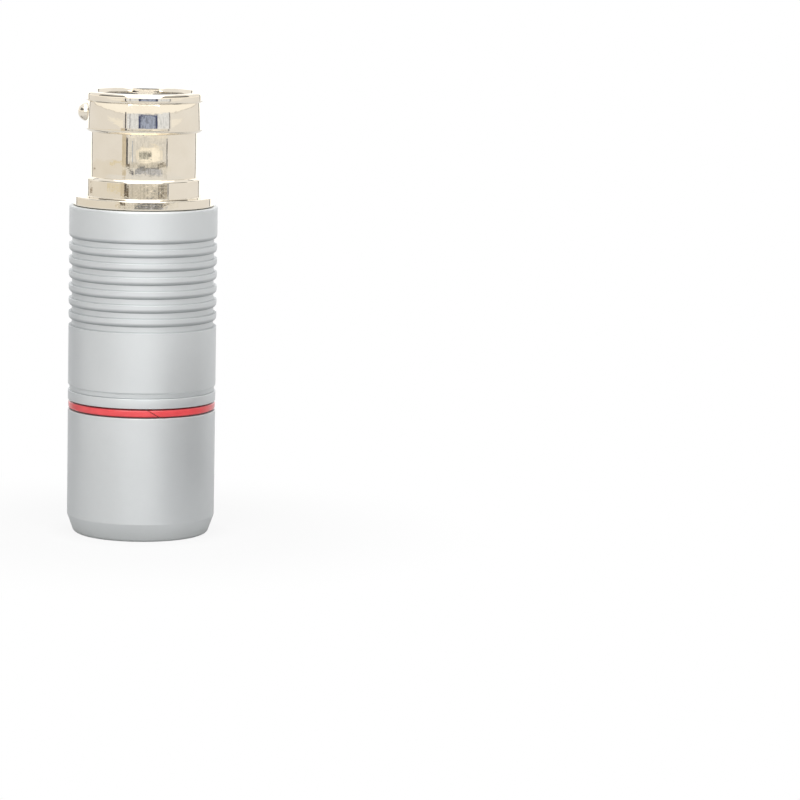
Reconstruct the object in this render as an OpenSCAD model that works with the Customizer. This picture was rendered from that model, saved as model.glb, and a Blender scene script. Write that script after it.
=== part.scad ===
// Three-way cable socket with a screwed cable clamp: stands on its end cap, mouth up.
// Units are mm, +Z points to the mouth, and the origin is the centre of the foot.

/* [Heights, from the foot up] */
// Height of the end cap
cap_length = 17; // [15:0.5:20]
// Space between cap and collar, filled by the marker ring
ring_space = 1.3; // [0.8:0.1:1.6]
// Height of the visible collar
collar_height = 1.4; // [1.2:0.1:2.5]
// Height of the barrel
barrel_length = 24.9; // [22:0.1:30]
// Height of the flange
flange_height = 1.35; // [1:0.05:2]
// Height of the lower band
low_band_height = 2.65; // [2:0.05:4]
// Height of the waist
waist_height = 6; // [5:0.1:7]
// Height of the upper band
high_band_height = 5.4; // [5:0.1:7]

/* [Diameters outside] */
// Cap, collar and barrel
body_diameter = 20; // [19:0.1:22]
// Step from the barrel to the flange
flange_step = 0.5;
// Step from the cap to the marker ring
ring_step = 0.05;
// Both bands of the nose
band_diameter = 15.7; // [15.6:0.05:15.9]
// Waist of the nose
waist_diameter = 14.7; // [14.5:0.05:15]

/* [Clearances on the radius] */
// Seats that stay together
seat_air = 0.05;
// Screwed joints, with the thread left plain
screw_air = 0.1;
// Depth of the cap's coarser thread
thread_depth = 0.25;
// Between the cap's bore and the fingers
finger_air = 0.15;
// Between the cap's mouth and the collet's tip
mouth_air = 0.1;
// Between the closing cone and the fingers
cone_air = 0.06;
// Between coupling and cable
cable_air = 0.2;
// Above and below the marker ring
ring_air = 0.05;

/* [Edges] */
// Bevel at the foot, across
foot_inset = 0.9;
// Bevel at the foot, along
foot_bevel = 2.5;
// Rounding of the cap's mouth
mouth_round = 1.1;
// Rounding of the nose's rim
rim_round = 0.38;
// Inner bevel of the nose's rim
rim_bevel = 0.2;
// Bevels of both bands towards the waist
band_bevel = 0.33;
// Bevel at the barrel's upper end
barrel_bevel = 0.3;
// Bevel at the barrel's lower end, across
barrel_foot_inset = 0.25;
// Bevel at the barrel's lower end, along
barrel_foot_bevel = 0.7;
// Bevel of the marker ring's outer edges
ring_bevel = 0.25;
// Bevel at the ends of the spigots
spigot_bevel = 0.4;
// Small bevel on the other turned edges
edge_break = 0.1;

/* [Cable clamp] */
// Wall of the cap around its thread
cap_wall = 1.7;
// Wall of the fingers, whose bore takes the cable
finger_wall = 0.8;
// Taper of the tip, across
tip_taper = 0.4;
// Taper of the tip, along
tip_taper_length = 1.1;
// Width of the tip's edge
tip_edge = 0.1;
// Length of the lead-in
tip_lead = 0.7;
// Height of the closed ring behind the slits
root_height = 4.45;
// Number of saw cuts, each of which makes two slits
saw_cuts = 4; // [3:1:6]
// Width of a slit
slit_width = 0.5;
// Straight length of the cap's mouth
mouth_land = 1.71;

/* [Coupling] */
// Length of the spigot in the cap
rear_spigot_length = 7.5;
// Wall of that spigot
rear_spigot_wall = 0.7;
// Space behind the spigot in the cap
socket_end_air = 0.3;
// Height of the land under the ring
land_height = 1.5;
// Distance of the collet's shoulder under the collar
shoulder_drop = 1.15;
// Length of the spigot in the barrel
front_spigot_length = 5.5;

/* [Marker ring] */
// Clearance on the land, on the radius
ring_fit = 0.03;
// Width of the slanted cut
ring_cut = 0.09;
// Slope of the cut
ring_cut_slope = 60;
// Direction of the cut, from the front
ring_cut_turn = 10.7;

/* [Barrel] */
// Wall of the barrel
barrel_wall = 1.6;
// Number of grooves
groove_count = 7; // [0:1:7]
// Distance of the lowest groove from the barrel's lower end
groove_start = 9.6;
// Distance from groove to groove
groove_pitch = 1.85;
// Width of a groove
groove_width = 0.96;
// Depth of a groove
groove_depth = 0.4;

/* [Nose] */
// Length of the spigot in the barrel
nose_spigot_length = 6;
// Depth of the bore for the ring nut
nut_pocket = 3;
// Step from the main bore to the bore for the ring nut
nut_step = 0.8;
// Wall of the waist
waist_wall = 1.05;
// Wall at the mouth
mouth_wall = 1;
// Depth of the mouth's bore
mouth_depth = 4.7;
// Width of the key slot
key_width = 2.9;
// Length of the key slot
key_length = 8;
// Depth of the key slot
key_depth = 2.05;
// Wall of the rib that closes the key slot inside
key_wall = 0.4;

/* [Insulators] */
// Distance of the front face from the rim
face_recess = 0.6;
// Bevel of the front face
face_bevel = 0.25;
// Length of the rear insulator in the bore
rear_trunk = 5.4;
// Thickness of the rear insulator's flange
rear_flange = 1;
// Thickness of the ring nut
nut_height = 1.6;
// Wall of the ring nut
nut_wall = 1.25;
// Width of the spanner slots
spanner_width = 1.4;
// Depth of the spanner slots
spanner_depth = 0.8;

/* [Contacts] */
// Diameter of the circle that the contacts stand on
contact_circle = 8;
// Bore of a socket, for a pin of 2.36 mm
socket_bore = 2.4;
// Wall of a socket
socket_wall = 0.4;
// Distance of a socket's tip from the front face
socket_recess = 0.7;
// Depth of a socket
socket_depth = 10.1;
// Depth of the saw cut
saw_depth = 7.2;
// Width of the saw cut
saw_width = 0.35;
// Bevel of a socket's tip, across
socket_bevel = 0.2;
// Bevel of a socket's tip, along
socket_bevel_height = 0.25;
// Rim of the collar
collar_rim = 0.3;
// Height of the collar
contact_collar_height = 1.2;
// Length of the tail behind the rear insulator
tail_length = 7.1;
// Bore of the solder cup
cup_bore = 2.1;
// Wall of the solder cup
cup_wall = 0.4;
// Depth of the solder cup
cup_depth = 5;
// Height of the opened side
cup_open = 2.7;
// Distance of the opened side from the contact's axis
cup_cut = 0.2;
// Bevel of the insulator's holes
entry_bevel = 0.3;

/* [Catch] */
// Distance of the catch from the rim
latch_drop = 2.6;
// Diameter of the pin
latch_diameter = 2.1;
// How far the pin stands out of the band
latch_reach = 1.1;
// Rim of the pin's collar
latch_rim = 0.22;
// Length of the pin's collar
latch_collar_length = 0.55;
// Solid length behind the round nose
latch_web = 0.2;
// Wall of the sleeve
sleeve_wall = 0.18;
// Distance of the sleeve's end under the band
sleeve_sink = 0.23;
// Length of the sleeve's lip
sleeve_lip_length = 0.62;
// Thickness of the sleeve's floor
sleeve_floor_wall = 0.3;
// Space behind the pin when it is pressed in
latch_overrun = 0.5;
// Diameter of the spring's wire
wire_diameter = 0.2;
// Mean diameter of the spring
coil_diameter = 1;
// Number of turns
coil_turns = 6;
// Air around the spring
coil_air = 0.12;
// Air at the spring's ends
coil_end_air = 0.02;

/* [Hidden] */
$fn = 96;

// Heights that several pieces share
collar_low = cap_length + ring_space;
collar_top = collar_low + collar_height;
barrel_top = collar_top + barrel_length;
flange_top = barrel_top + flange_height;
low_band_top = flange_top + low_band_height;
high_band_low = low_band_top + waist_height;
rim = high_band_low + high_band_height;
rear_spigot_end = collar_low - rear_spigot_length;
nose_end = barrel_top - nose_spigot_length;
nut_seat = nose_end + nut_pocket;
mouth_floor = rim - mouth_depth;
front_face = rim - face_recess;
insulator_joint = nut_seat + rear_trunk;
rear_face = nut_seat - rear_flange;
collar_half = contact_collar_height / 2;
socket_tip = front_face - socket_recess;
cup_end = rear_face - tail_length;
latch_height = rim - latch_drop;

// Radii that several pieces share
body_r = body_diameter / 2;
cap_socket_r = body_r - cap_wall;
land_r = cap_socket_r - seat_air;
rear_spigot_r = cap_socket_r - thread_depth;
collet_socket_r = rear_spigot_r - rear_spigot_wall;
collet_r = collet_socket_r - seat_air;
tip_r = collet_r - tip_taper;
cable_r = collet_r - finger_wall;
barrel_bore_r = body_r - barrel_wall;
bench_spigot_r = barrel_bore_r - screw_air;
band_r = band_diameter / 2;
waist_r = waist_diameter / 2;
nose_bore_r = waist_r - waist_wall;
nose_mouth_r = band_r - mouth_wall;
nut_bore_r = nose_bore_r + nut_step;
head_r = nose_mouth_r - seat_air;
trunk_r = nose_bore_r - seat_air;
nut_r = nut_bore_r - seat_air;
socket_r = socket_bore / 2 + socket_wall;
collar_r = socket_r + collar_rim;
stem_r = cup_bore / 2 + cup_wall;
entry_r = socket_r + seat_air;

// The closing cone of the cap and the collet's tip, one parallel to the other
cone_slope = tip_taper / tip_taper_length;
mouth_r = tip_r + mouth_air;
mouth_edge = min(mouth_round, (body_r - foot_inset - mouth_r) * 0.55);
cone_low = mouth_round + mouth_land;
collet_tip = cone_low - (mouth_air - cone_air) / cone_slope;
collet_root = collar_low - shoulder_drop;

// The catch, as distances from the axis of the plug
latch_r = latch_diameter / 2;
latch_collar_r = latch_r + latch_rim;
latch_tip = band_r + latch_reach;
sleeve_bore_r = latch_collar_r + seat_air;
sleeve_r = sleeve_bore_r + sleeve_wall;
sleeve_outer = band_r - sleeve_sink;
sleeve_lip = sleeve_outer - sleeve_lip_length;
latch_collar_end = sleeve_lip - seat_air;
latch_inner = latch_collar_end - latch_collar_length;
sleeve_floor = latch_inner - latch_reach - latch_overrun;
sleeve_inner = sleeve_floor - sleeve_floor_wall;
latch_bore_end = latch_tip - latch_r - latch_web;

// How far a cutting tool runs past the face it starts from
past = body_r;
contact_turns = [135, 45, 270];
grey = [0.68, 0.69, 0.7];
nickel = [0.86, 0.83, 0.78];
black = [0.1, 0.1, 0.11];
gold = [0.85, 0.68, 0.35];
red = [0.85, 0.16, 0.2];
steel = [0.7, 0.7, 0.72];

// Turned with its axis along -X, from the axis of the plug outwards, at the height of the catch
module across() {
  translate([0, 0, latch_height]) rotate([0, -90, 0]) children();
}

// At the place of one contact
module at_contact(i) {
  rotate(contact_turns[i]) translate([contact_circle / 2, 0, 0]) children();
}

// Slot for the key of the counterpart, in the rib of the nose and open to its mouth
module key_slot() {
  translate([-key_width / 2, band_r - key_depth, rim - key_length])
    cube([key_width, key_depth + past, key_length + past]);
}

// Space of the rib around the key slot between two heights, with air on its three sides
module key_rib(air, low, high) {
  half = key_width / 2 + key_wall + air;
  translate([-half, band_r - key_depth - key_wall - air, low]) cube([2 * half, past, high - low]);
}

// Hole for the catch's sleeve, from the given distance outwards
module sleeve_hole(from) {
  across() translate([0, 0, from]) cylinder(r = sleeve_r + seat_air, h = past);
}

// Nose: spigot, flange, lower band, waist and upper band, with stepped bores, a rounded rim and the key's rib
module nose_shell() {
  flange_r = body_r - flange_step;
  edge = min(rim_round, mouth_wall / 2 - rim_bevel / 4);
  bevel = min(spigot_bevel, (bench_spigot_r - nut_bore_r) / 2);
  color(nickel) difference() {
    union() {
      rotate_extrude() {
        polygon([[nut_bore_r, nose_end], [bench_spigot_r - bevel, nose_end],
                 [bench_spigot_r, nose_end + bevel], [bench_spigot_r, barrel_top],
                 [flange_r - edge_break, barrel_top], [flange_r, barrel_top + edge_break],
                 [flange_r, flange_top - edge_break], [flange_r - edge_break, flange_top],
                 [band_r, flange_top], [band_r, low_band_top - band_bevel],
                 [band_r - band_bevel, low_band_top], [waist_r, low_band_top], [waist_r, high_band_low],
                 [band_r - band_bevel, high_band_low], [band_r, high_band_low + band_bevel],
                 [band_r, rim - edge], [band_r - edge, rim - edge], [band_r - edge, rim],
                 [nose_mouth_r + rim_bevel, rim], [nose_mouth_r, rim - rim_bevel],
                 [nose_mouth_r, mouth_floor], [nose_bore_r, mouth_floor], [nose_bore_r, nut_seat],
                 [nut_bore_r, nut_seat]]);
        translate([band_r - edge, rim - edge]) circle(edge);
      }
      intersection() {
        key_rib(0, insulator_joint + seat_air, rim);
        cylinder(r = (nose_mouth_r + waist_r) / 2, h = rim);
      }
    }
    key_slot();
    sleeve_hole(nose_bore_r / 2);
  }
}

// Front insulator: head in the mouth, trunk in the bore, three bevelled holes, groove for the rib, catch pocket
module front_insulator() {
  color(black) difference() {
    rotate_extrude()
      polygon([[0, insulator_joint], [trunk_r, insulator_joint], [trunk_r, mouth_floor],
               [head_r, mouth_floor], [head_r, front_face - face_bevel],
               [head_r - face_bevel, front_face], [0, front_face]]);
    for (i = [0 : 2]) at_contact(i) {
      translate([0, 0, insulator_joint - past])
        cylinder(r = collar_r + seat_air, h = collar_half + seat_air + past);
      translate([0, 0, insulator_joint]) cylinder(r = entry_r, h = rim);
      translate([0, 0, front_face - entry_bevel])
        cylinder(r1 = entry_r, r2 = entry_r + 2 * entry_bevel, h = 2 * entry_bevel);
    }
    key_rib(seat_air, insulator_joint - past, rim);
    sleeve_hole(sleeve_inner - seat_air);
  }
}

// Rear insulator: trunk and flange, with stepped holes that close over the contact collars
module rear_insulator() {
  color(black) difference() {
    rotate_extrude()
      polygon([[0, rear_face], [nut_r, rear_face], [nut_r, nut_seat], [trunk_r, nut_seat],
               [trunk_r, insulator_joint], [0, insulator_joint]]);
    for (i = [0 : 2]) at_contact(i) {
      translate([0, 0, rear_face - past]) cylinder(r = stem_r + seat_air, h = rim);
      translate([0, 0, insulator_joint - collar_half - seat_air])
        cylinder(r = collar_r + seat_air, h = past);
    }
  }
}

// Ring nut with a spanner slot across its lower face
module insulator_nut() {
  color(nickel) difference() {
    rotate_extrude()
      translate([nut_r - nut_wall, rear_face - nut_height]) square([nut_wall, nut_height]);
    translate([-past, -spanner_width / 2, rear_face - nut_height - past])
      cube([2 * past, spanner_width, past + spanner_depth]);
  }
}

// Contact: sawn socket at the front, collar, stem and solder cup opened on its outer side
module contact(i) {
  low = insulator_joint - collar_half;
  high = insulator_joint + collar_half;
  color(gold) at_contact(i) difference() {
    rotate_extrude()
      polygon([[0, cup_end], [stem_r, cup_end], [stem_r, low], [collar_r, low], [collar_r, high],
               [socket_r, high], [socket_r, socket_tip - socket_bevel_height],
               [socket_r - socket_bevel, socket_tip], [0, socket_tip]]);
    translate([0, 0, socket_tip - socket_depth]) cylinder(r = socket_bore / 2, h = socket_depth + past);
    translate([-past, -saw_width / 2, socket_tip - saw_depth]) cube([2 * past, saw_width, saw_depth + past]);
    translate([0, 0, cup_end - past]) cylinder(r = cup_bore / 2, h = cup_depth + past);
    translate([cup_cut, -past, cup_end - past]) cube([past, 2 * past, cup_open + past]);
  }
}

// Cup that guides the catch: closed at its inner end, narrowed by a lip at its outer end
module latch_sleeve() {
  aperture_r = latch_r + seat_air;
  color(nickel) across() rotate_extrude()
    polygon([[0, sleeve_inner], [sleeve_r, sleeve_inner], [sleeve_r, sleeve_outer],
             [aperture_r, sleeve_outer], [aperture_r, sleeve_lip], [sleeve_bore_r, sleeve_lip],
             [sleeve_bore_r, sleeve_floor], [0, sleeve_floor]]);
}

// Catch: hollow pin with a collar and a round nose
module latch_pin() {
  bore_r = coil_diameter / 2 + wire_diameter / 2 + coil_air;
  color(nickel) across() difference() {
    union() {
      translate([0, 0, latch_inner]) cylinder(r = latch_collar_r, h = latch_collar_length);
      translate([0, 0, latch_inner]) cylinder(r = latch_r, h = latch_tip - latch_r - latch_inner);
      translate([0, 0, latch_tip - latch_r]) sphere(latch_r);
    }
    translate([0, 0, latch_inner - past]) cylinder(r = bore_r, h = latch_bore_end - latch_inner + past);
  }
}

// Coil between the sleeve's floor and the end of the pin's bore
module latch_spring() {
  sides = 8;
  steps = 18 * coil_turns;
  wire_r = wire_diameter / 2;
  low = sleeve_floor + wire_r + coil_end_air;
  high = latch_bore_end - wire_r - coil_end_air;
  points = [for (i = [0 : steps], j = [0 : sides - 1])
    let (turn = 360 * coil_turns * i / steps, a = 360 * j / sides, d = coil_diameter / 2 + wire_r * cos(a))
    [d * cos(turn), d * sin(turn), low + (high - low) * i / steps + wire_r * sin(a)]];
  skin = [for (i = [0 : steps - 1], j = [0 : sides - 1])
    let (k = (j + 1) % sides)
    each [[i * sides + j, (i + 1) * sides + j, i * sides + k],
          [i * sides + k, (i + 1) * sides + j, (i + 1) * sides + k]]];
  first = [for (j = [1 : sides - 2]) [0, j, j + 1]];
  last = [for (j = [1 : sides - 2]) [steps * sides, steps * sides + j + 1, steps * sides + j]];
  color(steel) across() polyhedron(points = points, faces = concat(skin, first, last));
}

// Barrel: plain tube with bevelled ends and round grooves
module barrel() {
  groove_r = (pow(groove_width / 2, 2) + pow(groove_depth, 2)) / (2 * groove_depth);
  color(grey) rotate_extrude() difference() {
    polygon([[barrel_bore_r, collar_top], [body_r - barrel_foot_inset, collar_top],
             [body_r, collar_top + barrel_foot_bevel], [body_r, barrel_top - barrel_bevel],
             [body_r - barrel_bevel, barrel_top], [barrel_bore_r, barrel_top]]);
    for (i = [0 : 1 : groove_count - 1])
      translate([body_r - groove_depth + groove_r, collar_top + groove_start + groove_pitch * i])
        circle(groove_r);
  }
}

// Coupling: rear spigot with the ring's land, collar, front spigot
module coupling() {
  bore_r = cable_r + cable_air;
  top = collar_top + front_spigot_length;
  color(grey) rotate_extrude()
    polygon([[collet_socket_r, rear_spigot_end], [rear_spigot_r - spigot_bevel, rear_spigot_end],
             [rear_spigot_r, rear_spigot_end + spigot_bevel], [rear_spigot_r, collar_low - land_height],
             [land_r, collar_low - land_height], [land_r, collar_low], [body_r - edge_break, collar_low],
             [body_r, collar_low + edge_break], [body_r, collar_top - edge_break],
             [body_r - edge_break, collar_top], [bench_spigot_r, collar_top],
             [bench_spigot_r, top - spigot_bevel], [bench_spigot_r - spigot_bevel, top], [bore_r, top],
             [bore_r, collet_root], [collet_socket_r, collet_root]]);
}

// Marker ring: bevelled outside, split by a slanted cut at the front
module marker_ring() {
  low = cap_length + ring_air;
  high = collar_low - ring_air;
  inner = land_r + ring_fit;
  outer = body_r - ring_step;
  middle = cap_length + ring_space / 2;
  color(red) difference() {
    rotate_extrude()
      polygon([[inner, low], [outer - ring_bevel, low], [outer, low + ring_bevel],
               [outer, high - ring_bevel], [outer - ring_bevel, high], [inner, high]]);
    rotate(ring_cut_turn) translate([0, -(inner + outer) / 2, middle]) rotate([0, -ring_cut_slope, 0])
      cube([ring_cut, 2 * (outer - inner), past], center = true);
  }
}

// Collet: tapered tip with a lead-in, and saw cuts that leave springy fingers
module collet() {
  color(nickel) difference() {
    rotate_extrude()
      polygon([[tip_r - tip_edge, collet_tip], [tip_r, collet_tip], [collet_r, collet_tip + tip_taper_length],
               [collet_r, collet_root - edge_break], [collet_r - edge_break, collet_root],
               [cable_r, collet_root], [cable_r, collet_tip + tip_lead]]);
    for (i = [0 : saw_cuts - 1])
      rotate((i + 0.5) * 180 / saw_cuts) translate([-past, -slit_width / 2, collet_tip - past])
        cube([2 * past, slit_width, collet_root - root_height - collet_tip + past]);
  }
}

// End cap: bevelled foot, rounded mouth, closing cone and threaded socket
module end_cap() {
  bore_r = collet_r + finger_air;
  cone_high = cone_low + (bore_r - mouth_r) / cone_slope;
  socket_floor = rear_spigot_end - socket_end_air;
  color(grey) rotate_extrude() {
    polygon([[mouth_r + mouth_edge, 0], [body_r - foot_inset, 0], [body_r, foot_bevel],
             [body_r, cap_length - edge_break], [body_r - edge_break, cap_length],
             [cap_socket_r + edge_break, cap_length], [cap_socket_r, cap_length - edge_break],
             [cap_socket_r, socket_floor], [bore_r, socket_floor], [bore_r, cone_high],
             [mouth_r, cone_low], [mouth_r, mouth_edge], [mouth_r + mouth_edge, mouth_edge]]);
    translate([mouth_r + mouth_edge, mouth_edge]) circle(mouth_edge);
  }
}

nose_shell();
front_insulator();
rear_insulator();
insulator_nut();
contact(0);  // contact_1
contact(1);  // contact_2
contact(2);  // contact_3
latch_sleeve();
latch_pin();
latch_spring();
barrel();
coupling();
marker_ring();
collet();
end_cap();
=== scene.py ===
import math
import bmesh
import bpy
from mathutils import Matrix


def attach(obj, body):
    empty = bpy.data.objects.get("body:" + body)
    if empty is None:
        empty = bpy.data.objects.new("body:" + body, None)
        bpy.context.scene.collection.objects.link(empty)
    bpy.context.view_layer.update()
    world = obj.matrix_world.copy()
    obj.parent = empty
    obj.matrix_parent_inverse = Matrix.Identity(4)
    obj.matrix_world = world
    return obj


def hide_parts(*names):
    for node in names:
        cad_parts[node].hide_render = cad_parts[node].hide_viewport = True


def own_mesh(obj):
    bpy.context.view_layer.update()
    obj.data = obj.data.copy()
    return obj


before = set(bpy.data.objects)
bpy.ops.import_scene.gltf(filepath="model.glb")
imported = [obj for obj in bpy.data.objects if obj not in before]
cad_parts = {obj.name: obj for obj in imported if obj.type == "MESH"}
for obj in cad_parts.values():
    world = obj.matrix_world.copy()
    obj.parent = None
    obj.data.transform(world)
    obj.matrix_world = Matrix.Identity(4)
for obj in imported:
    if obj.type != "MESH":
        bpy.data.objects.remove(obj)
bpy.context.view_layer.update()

# Camera, at the place from which the plug was photographed: in front, a little to the right of its axis,
# a little above its mouth, with a long lens. The plug stands left of the middle of the picture.
MM = 0.001
CAMERA_PLACE = (14.54 * MM, -519.15 * MM, 93.07 * MM)
CAMERA_YAW = 0.0397
CAMERA_PITCH = 0.1425
CAMERA_ROLL = 0.0201
CAMERA_LENS = 173.24
CAMERA_SENSOR = 36.0
CAMERA_CLIP = 10 * MM
bpy.ops.object.select_all(action="DESELECT")
bpy.ops.object.camera_add()
camera = bpy.context.object
camera.name = "studio_camera"
camera.data.lens = CAMERA_LENS
camera.data.sensor_width = CAMERA_SENSOR
camera.data.clip_start = CAMERA_CLIP
camera.matrix_world = (Matrix.Translation(CAMERA_PLACE) @ Matrix.Rotation(-CAMERA_YAW, 4, "Z")
                       @ Matrix.Rotation(math.pi / 2 - CAMERA_PITCH, 4, "X")
                       @ Matrix.Rotation(CAMERA_ROLL, 4, "Z"))
bpy.context.scene.camera = camera
bpy.context.scene.view_settings.view_transform = "Standard"

# Nose: turned from brass, plated with bright nickel and polished, which leaves its waist and its upper band
# a little crowned. Its spigot screws into the barrel, and a fine seam stays open under its flange.
# All pieces are modelled in mm, as (radius, height), and brought to metres when they are handed over.
TURN_STEPS = 192
ROUND_STEPS = 4
MERGE_GAP = 0.0005
CORNER_GAP = 0.002
SMOOTH_ANGLE = math.radians(38)
TOOL_SIDES = 64
TOOL_REACH = 20.0
TOOL_TOP = 64.0
SIDEWAYS = (0, math.pi / 2, 0)
NOISE_LOW = 0.3
NOISE_HIGH = 0.7


def select_only(piece):
    """Makes one piece the one that operators act on."""
    bpy.ops.object.select_all(action="DESELECT")
    bpy.context.view_layer.objects.active = piece
    piece.select_set(True)


def settle(piece):
    """Puts a piece's place, turn and scale into its mesh."""
    select_only(piece)
    bpy.ops.object.transform_apply(location=True, rotation=True, scale=True)


def pick(piece, wanted):
    """Selects the points of a piece in edit mode for which wanted(point) is true."""
    mesh = bmesh.from_edit_mesh(piece.data)
    for point in mesh.verts:
        point.select = wanted(point.co)
    mesh.select_flush_mode()
    bmesh.update_edit_mesh(piece.data)


def start_piece(name, place):
    """A small plane at a place, merged to the one point from which an outline is drawn."""
    bpy.ops.object.select_all(action="DESELECT")
    bpy.ops.mesh.primitive_plane_add(size=1.0, location=place)
    piece = bpy.context.object
    piece.name = name
    piece.data.name = name
    bpy.ops.object.transform_apply(location=True)
    bpy.ops.object.mode_set(mode="EDIT")
    bpy.ops.mesh.select_mode(type="VERT")
    bpy.ops.mesh.select_all(action="SELECT")
    bpy.ops.mesh.merge(type="CENTER")
    return piece


def draw_outline(outline, closed):
    """Extrudes the selected point from one (radius, height) to the next."""
    stops = outline + outline[:1] if closed else outline
    for here, there in zip(stops, stops[1:]):
        step = (there[0] - here[0], 0.0, there[1] - here[1])
        bpy.ops.mesh.extrude_region_move(TRANSFORM_OT_translate={"value": step})
    bpy.ops.mesh.select_all(action="SELECT")
    bpy.ops.mesh.remove_doubles(threshold=MERGE_GAP)


def close_up():
    """Merges the doubles of the mesh in edit mode, turns its faces outwards and leaves edit mode."""
    bpy.ops.mesh.select_all(action="SELECT")
    bpy.ops.mesh.remove_doubles(threshold=MERGE_GAP)
    bpy.ops.mesh.normals_make_consistent(inside=False)
    bpy.ops.object.mode_set(mode="OBJECT")


def turned(name, outline, rounds=(), closed=True, steps=TURN_STEPS):
    """A turned piece: an outline with rounded corners (radius of the round, its corners), spun about Z."""
    piece = start_piece(name, (outline[0][0], 0.0, outline[0][1]))
    draw_outline(outline, closed)
    for radius, corners in rounds:
        pick(piece, lambda co: any(abs(co.x - r) + abs(co.z - z) < CORNER_GAP for r, z in corners))
        bpy.ops.mesh.bevel(offset=radius, offset_type="OFFSET", segments=ROUND_STEPS, affect="VERTICES")
    bpy.ops.mesh.select_all(action="SELECT")
    bpy.ops.mesh.spin(steps=steps, angle=math.tau, center=(0, 0, 0), axis=(0, 0, 1))
    close_up()
    return piece


def block(name, low, high):
    """A cutting block between two corners."""
    bpy.ops.object.select_all(action="DESELECT")
    middle = [(a + b) / 2 for a, b in zip(low, high)]
    bpy.ops.mesh.primitive_cube_add(size=1.0, location=middle)
    tool = bpy.context.object
    tool.name = name
    tool.scale = [b - a for a, b in zip(low, high)]
    settle(tool)
    return tool


def drill(name, radius, place, length, turn=(0, 0, 0)):
    """A cutting cylinder, centred at a place and turned from the Z direction."""
    bpy.ops.object.select_all(action="DESELECT")
    bpy.ops.mesh.primitive_cylinder_add(vertices=TOOL_SIDES, radius=radius, depth=length, location=place,
                                        rotation=turn)
    tool = bpy.context.object
    tool.name = name
    settle(tool)
    return tool


def cut(piece, tool, operation="DIFFERENCE"):
    """Cuts a piece with a tool, which is used up."""
    select_only(piece)
    work = piece.modifiers.new("cut", "BOOLEAN")
    work.operation = operation
    work.solver = "EXACT"
    work.object = tool
    bpy.ops.object.modifier_apply(modifier=work.name)
    bpy.data.objects.remove(tool, do_unlink=True)


def hand_over(piece, material, body, node):
    """Brings a piece to metres, smooths it, gives it its finish and its body, and hides its CAD node."""
    piece.scale = (MM, MM, MM)
    settle(piece)
    bpy.ops.object.shade_smooth_by_angle(angle=SMOOTH_ANGLE)
    even = piece.modifiers.new("even_shading", "WEIGHTED_NORMAL")
    even.keep_sharp = True
    bpy.ops.object.modifier_apply(modifier=even.name)
    piece.data.materials.clear()
    piece.data.materials.append(material)
    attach(piece, body)
    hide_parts(node)


def feed(tree, value, socket):
    """Links an output to a socket, or sets the socket to a colour or a number."""
    if isinstance(value, bpy.types.NodeSocket):
        tree.links.new(value, socket)
    elif isinstance(value, tuple):
        socket.default_value = (*value, 1)
    else:
        socket.default_value = value


def in_mm(tree):
    """Object coordinates in mm."""
    coords = tree.nodes.new("ShaderNodeTexCoord")
    mapping = tree.nodes.new("ShaderNodeMapping")
    mapping.inputs["Scale"].default_value = (1 / MM, 1 / MM, 1 / MM)
    feed(tree, coords.outputs["Object"], mapping.inputs["Vector"])
    return mapping.outputs["Vector"]


def noise(tree, coords, scale, detail=2.0, rough=0.5, stretch=None):
    """A noise texture on coordinates in mm, stretched by a Mapping node where asked."""
    if stretch is not None:
        mapping = tree.nodes.new("ShaderNodeMapping")
        mapping.inputs["Scale"].default_value = stretch
        feed(tree, coords, mapping.inputs["Vector"])
        coords = mapping.outputs["Vector"]
    texture = tree.nodes.new("ShaderNodeTexNoise")
    feed(tree, scale, texture.inputs["Scale"])
    feed(tree, detail, texture.inputs["Detail"])
    feed(tree, rough, texture.inputs["Roughness"])
    feed(tree, coords, texture.inputs["Vector"])
    return texture.outputs["Fac"]


def spread(tree, value, low, high, least=NOISE_LOW, most=NOISE_HIGH):
    """A value between least and most, by default the usual span of a noise, spread from low to high."""
    node = tree.nodes.new("ShaderNodeMapRange")
    feed(tree, least, node.inputs["From Min"])
    feed(tree, most, node.inputs["From Max"])
    feed(tree, low, node.inputs["To Min"])
    feed(tree, high, node.inputs["To Max"])
    feed(tree, value, node.inputs["Value"])
    return node.outputs["Result"]


def tinted(tree, share, dark, light):
    """A colour between two, by a share from 0 to 1."""
    node = tree.nodes.new("ShaderNodeMix")
    node.data_type = "RGBA"
    feed(tree, dark, node.inputs["A"])
    feed(tree, light, node.inputs["B"])
    feed(tree, share, node.inputs["Factor"])
    return node.outputs["Result"]


def new_finish(name, metallic=0.0):
    """A material, its node tree and its Principled shader."""
    material = bpy.data.materials.new(name)
    material.use_nodes = True
    shader = material.node_tree.nodes["Principled BSDF"]
    shader.inputs["Metallic"].default_value = metallic
    return material, material.node_tree, shader


def mottled(tree, pattern, dark, light):
    """A colour that drifts between two tones with a noise pattern."""
    return tinted(tree, spread(tree, pattern, 0.0, 1.0), dark, light)


def bumped(tree, shader, height, depth, strength):
    """Bump of a depth in metres on a shader."""
    bump = tree.nodes.new("ShaderNodeBump")
    bump.inputs["Distance"].default_value = depth
    bump.inputs["Strength"].default_value = strength
    feed(tree, height, bump.inputs["Height"])
    feed(tree, bump.outputs["Normal"], shader.inputs["Normal"])


NICKEL_LIGHT = (0.90, 0.83, 0.71)
NICKEL_DARK = (0.86, 0.785, 0.66)
TURNING_MARKS = (0.05, 0.05, 9.0)
nickel, tree, shader = new_finish("bright_nickel", 1.0)
mm = in_mm(tree)
feed(tree, mottled(tree, noise(tree, mm, 0.35, 3.0), NICKEL_DARK, NICKEL_LIGHT), shader.inputs["Base Color"])
turning = noise(tree, mm, 1.0, 2.0, 0.6, TURNING_MARKS)
feed(tree, spread(tree, turning, 0.02, 0.055), shader.inputs["Roughness"])
bumped(tree, shader, noise(tree, mm, 0.8), 0.02 * MM, 0.25)

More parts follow.
